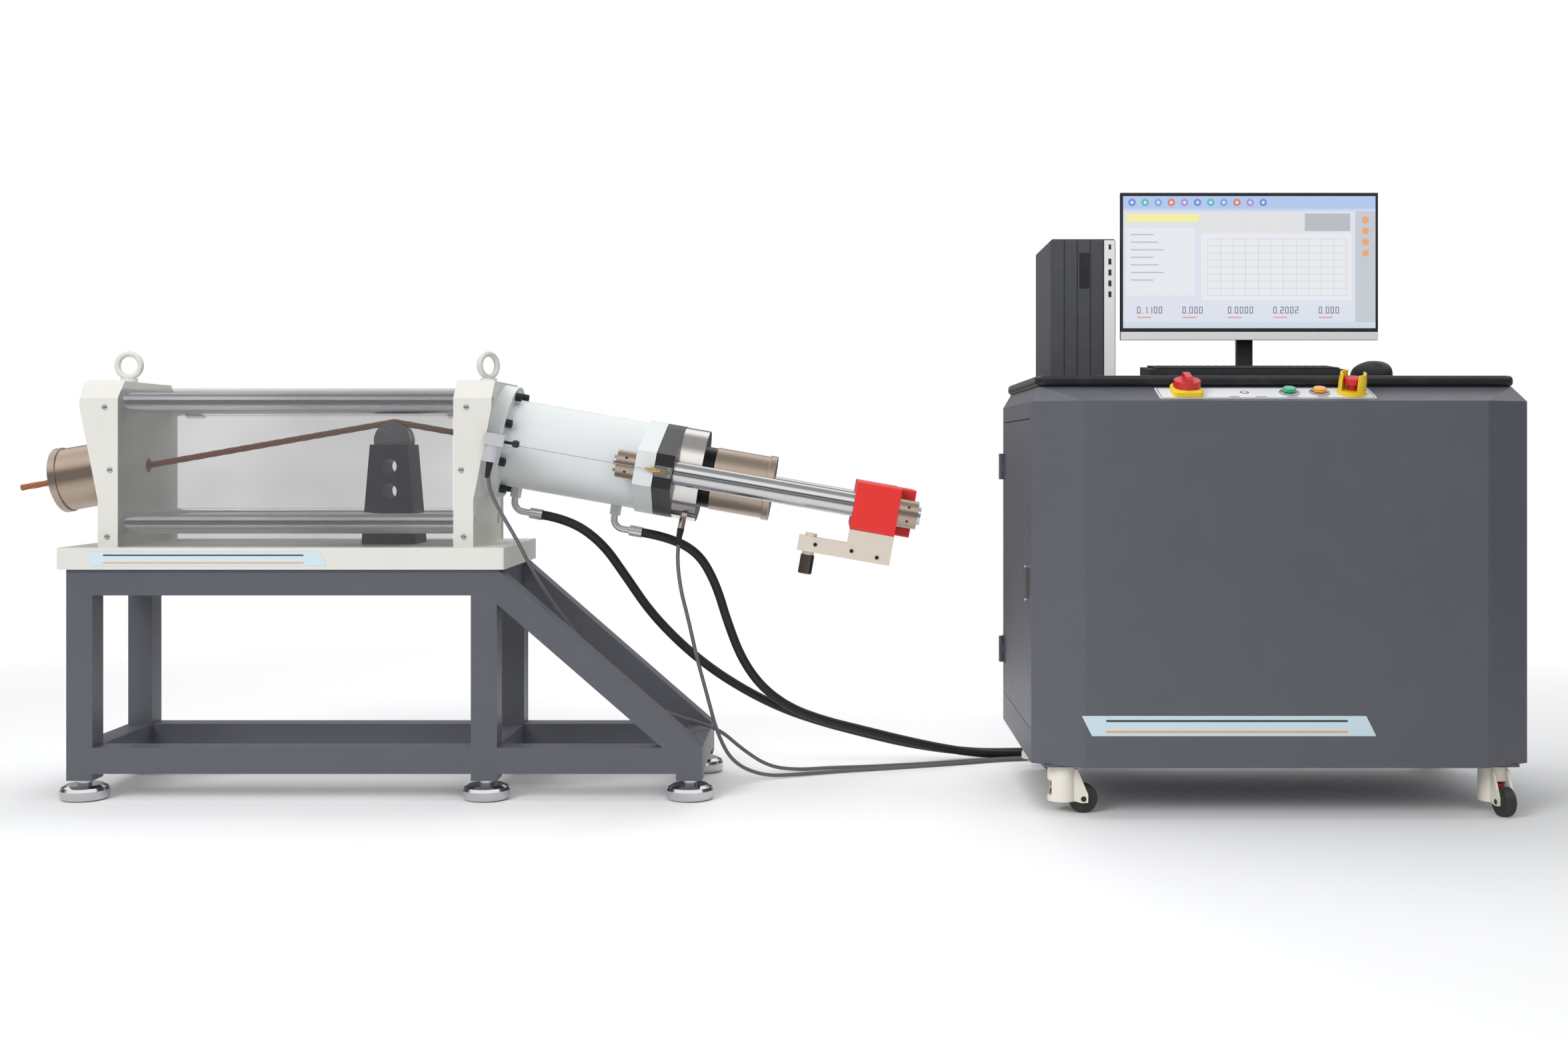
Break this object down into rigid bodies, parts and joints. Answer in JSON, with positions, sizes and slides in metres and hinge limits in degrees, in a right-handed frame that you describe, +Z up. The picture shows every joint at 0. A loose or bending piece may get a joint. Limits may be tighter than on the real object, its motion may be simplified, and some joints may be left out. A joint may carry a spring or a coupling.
{
  "type": "deflected tensile testing machine",
  "caption": "Horizontal hydraulic strand tester on a tube stand: sloped anchors, mandrel under a clear guard, hollow cylinder, stop beam, wheeled control console with computer.",
  "frame": {"origin": "on the floor, in the middle of the whole set's box", "axes": "+X from the fixed anchor to the console, +Y away from the operator, +Z up"},
  "size_m": [3.5028, 0.803, 1.418],
  "materials": {
    "stand_paint": "satin dark blue-grey paint",
    "cream_paint": "fine textured cream paint",
    "chromed": "bright plated",
    "steel": "ground steel",
    "dark_steel": "blackened steel",
    "black_paint": "black paint",
    "bronze": "bronze-coloured plating",
    "red_paint": "gloss red paint",
    "clear": "clear acrylic",
    "hose_rubber": "matt black",
    "conduit": "grey braided sleeve",
    "strand_wire": "copper-brown drawn wire",
    "laminate": "black laminate",
    "panel_white": "white plate",
    "yellow": "yellow",
    "red": "red",
    "green": "green",
    "amber": "amber",
    "caster_cream": "cream housing",
    "tyre_black": "nylon wheel",
    "black_plastic": "black plastic",
    "aluminium": "satin"
  },
  "bodies": {
    "machine": {"stand_frame": "stand_paint", "levelling_feet": "chromed", "base_plate": "cream_paint", "passive_block": "cream_paint", "active_block": "cream_paint", "end_covers": "cream_paint", "tie_bars": "steel", "lifting_eyes": "cream_paint", "mandrel_pedestal": "dark_steel", "mandrel": "steel", "strand": "strand_wire", "passive_cup": "bronze", "passive_anchor": "steel", "cylinder_barrel": "panel_white", "flange_bolts": "dark_steel", "cylinder_gland": "panel_white", "guide_rods": "chromed", "rod_nuts": "bronze", "wire_sensor": "aluminium", "measuring_wire": "steel", "hose_fittings": "steel", "retract_hose": "hose_rubber", "extend_hose": "hose_rubber", "sensor_cable": "conduit", "load_cell_cable": "conduit", "cabinet_body": "stand_paint", "cabinet_deck": "stand_paint", "worktop": "laminate", "control_plate": "panel_white", "switch_base": "yellow", "estop_guard": "yellow", "computer_tower": "black_plastic", "monitor_stand": "black_plastic", "keyboard": "black_plastic", "mouse": "black_plastic", "power_pack": "aluminium"},
    "pulled_head": {"piston": "chromed", "pull_plate": "black_paint", "load_cell": "chromed", "active_cup": "bronze", "active_anchor": "steel"},
    "stop_beam": {"stop_beam": "red_paint", "swing_handle": "steel"},
    "handle_knob": {"handle_knob": "bronze"},
    "clear_guard": {"clear_guard": "clear"},
    "side_door": {"side_door": "stand_paint"},
    "door_latch": {"door_latch": "chromed"},
    "switch_knob": {"switch_knob": "red"},
    "green_button": {"green_button": "green"},
    "amber_button": {"amber_button": "amber"},
    "estop_button": {"estop_button": "red"},
    "monitor_head": {"monitor_head": "black_plastic"},
    "caster_front_left": {"caster_housing_front_left": "caster_cream"},
    "wheel_front_left": {"caster_wheel_front_left": "tyre_black"},
    "caster_front_right": {"caster_housing_front_right": "caster_cream"},
    "wheel_front_right": {"caster_wheel_front_right": "tyre_black"},
    "caster_rear_left": {"caster_housing_rear_left": "caster_cream"},
    "wheel_rear_left": {"caster_wheel_rear_left": "tyre_black"},
    "caster_rear_right": {"caster_housing_rear_right": "caster_cream"},
    "wheel_rear_right": {"caster_wheel_rear_right": "tyre_black"}
  },
  "joints": [
    {"name": "piston_slide", "type": "slide", "parent": "machine", "child": "pulled_head", "axis": [0.9848, 0, -0.1736], "range_m": [0, 0.08], "deforming": ["measuring_wire", "load_cell_cable"]},
    {"name": "stop_beam_swing", "type": "hinge", "parent": "machine", "child": "stop_beam", "pos_m": [0.30942, -0.09, 0.66982], "axis": [0.9848, 0, -0.1736], "range_deg": [0, 90]},
    {"name": "handle_knob_spin", "type": "hinge", "parent": "stop_beam", "child": "handle_knob", "pos_m": [0.14846, -0.112, 0.54588], "axis": [-0.1736, 0, -0.9848], "continuous": true},
    {"name": "guard_lift", "type": "hinge", "parent": "machine", "child": "clear_guard", "pos_m": [-1.05407, 0.195, 0.916], "axis": [-1, 0, 0], "range_deg": [0, 95]},
    {"name": "side_door_swing", "type": "hinge", "parent": "machine", "child": "side_door", "pos_m": [0.643, 0.322, 0.53], "axis": [0, 0, -1], "range_deg": [0, 24]},
    {"name": "door_latch_turn", "type": "hinge", "parent": "side_door", "child": "door_latch", "pos_m": [0.65, -0.226, 0.527], "axis": [-1, 0, 0], "range_deg": [0, 90]},
    {"name": "main_switch_turn", "type": "hinge", "parent": "machine", "child": "switch_knob", "pos_m": [0.991, -0.30322, 0.94047], "axis": [0, 0.3219, -0.9468], "range_deg": [0, 90]},
    {"name": "green_button_press", "type": "slide", "parent": "machine", "child": "green_button", "axis": [0, 0.3219, -0.9468], "range_m": [0, 0.004], "stiffness_N_per_m": 400},
    {"name": "amber_button_press", "type": "slide", "parent": "machine", "child": "amber_button", "axis": [0, 0.3219, -0.9468], "range_m": [0, 0.004], "stiffness_N_per_m": 400},
    {"name": "estop_press", "type": "slide", "parent": "machine", "child": "estop_button", "axis": [0, 0.3219, -0.9468], "range_m": [0, 0.006], "stiffness_N_per_m": 500},
    {"name": "swivel_front_left", "type": "hinge", "parent": "machine", "child": "caster_front_left", "pos_m": [0.72, -0.268, 0.09], "axis": [0, 0, 1], "continuous": true},
    {"name": "roll_front_left", "type": "hinge", "parent": "caster_front_left", "child": "wheel_front_left", "pos_m": [0.766, -0.268, 0.032], "axis": [0, 1, 0], "continuous": true},
    {"name": "swivel_front_right", "type": "hinge", "parent": "machine", "child": "caster_front_right", "pos_m": [1.68, -0.268, 0.09], "axis": [0, 0, 1], "continuous": true},
    {"name": "roll_front_right", "type": "hinge", "parent": "caster_front_right", "child": "wheel_front_right", "pos_m": [1.68799, -0.3133, 0.032], "axis": [0.9848, 0.1736, 0], "continuous": true},
    {"name": "swivel_rear_left", "type": "hinge", "parent": "machine", "child": "caster_rear_left", "pos_m": [0.72, 0.262, 0.09], "axis": [0, 0, 1], "continuous": true},
    {"name": "roll_rear_left", "type": "hinge", "parent": "caster_rear_left", "child": "wheel_rear_left", "pos_m": [0.76323, 0.24627, 0.032], "axis": [0.342, 0.9397, 0], "continuous": true},
    {"name": "swivel_rear_right", "type": "hinge", "parent": "machine", "child": "caster_rear_right", "pos_m": [1.68, 0.262, 0.09], "axis": [0, 0, 1], "continuous": true},
    {"name": "roll_rear_right", "type": "hinge", "parent": "caster_rear_right", "child": "wheel_rear_right", "pos_m": [1.71984, 0.285, 0.032], "axis": [-0.5, 0.866, 0], "continuous": true},
    {"name": "monitor_tilt", "type": "hinge", "parent": "machine", "child": "monitor_head", "pos_m": [1.2, 0.045, 1.225], "axis": [-1, 0, 0], "range_deg": [-4, 20]}
  ]
}
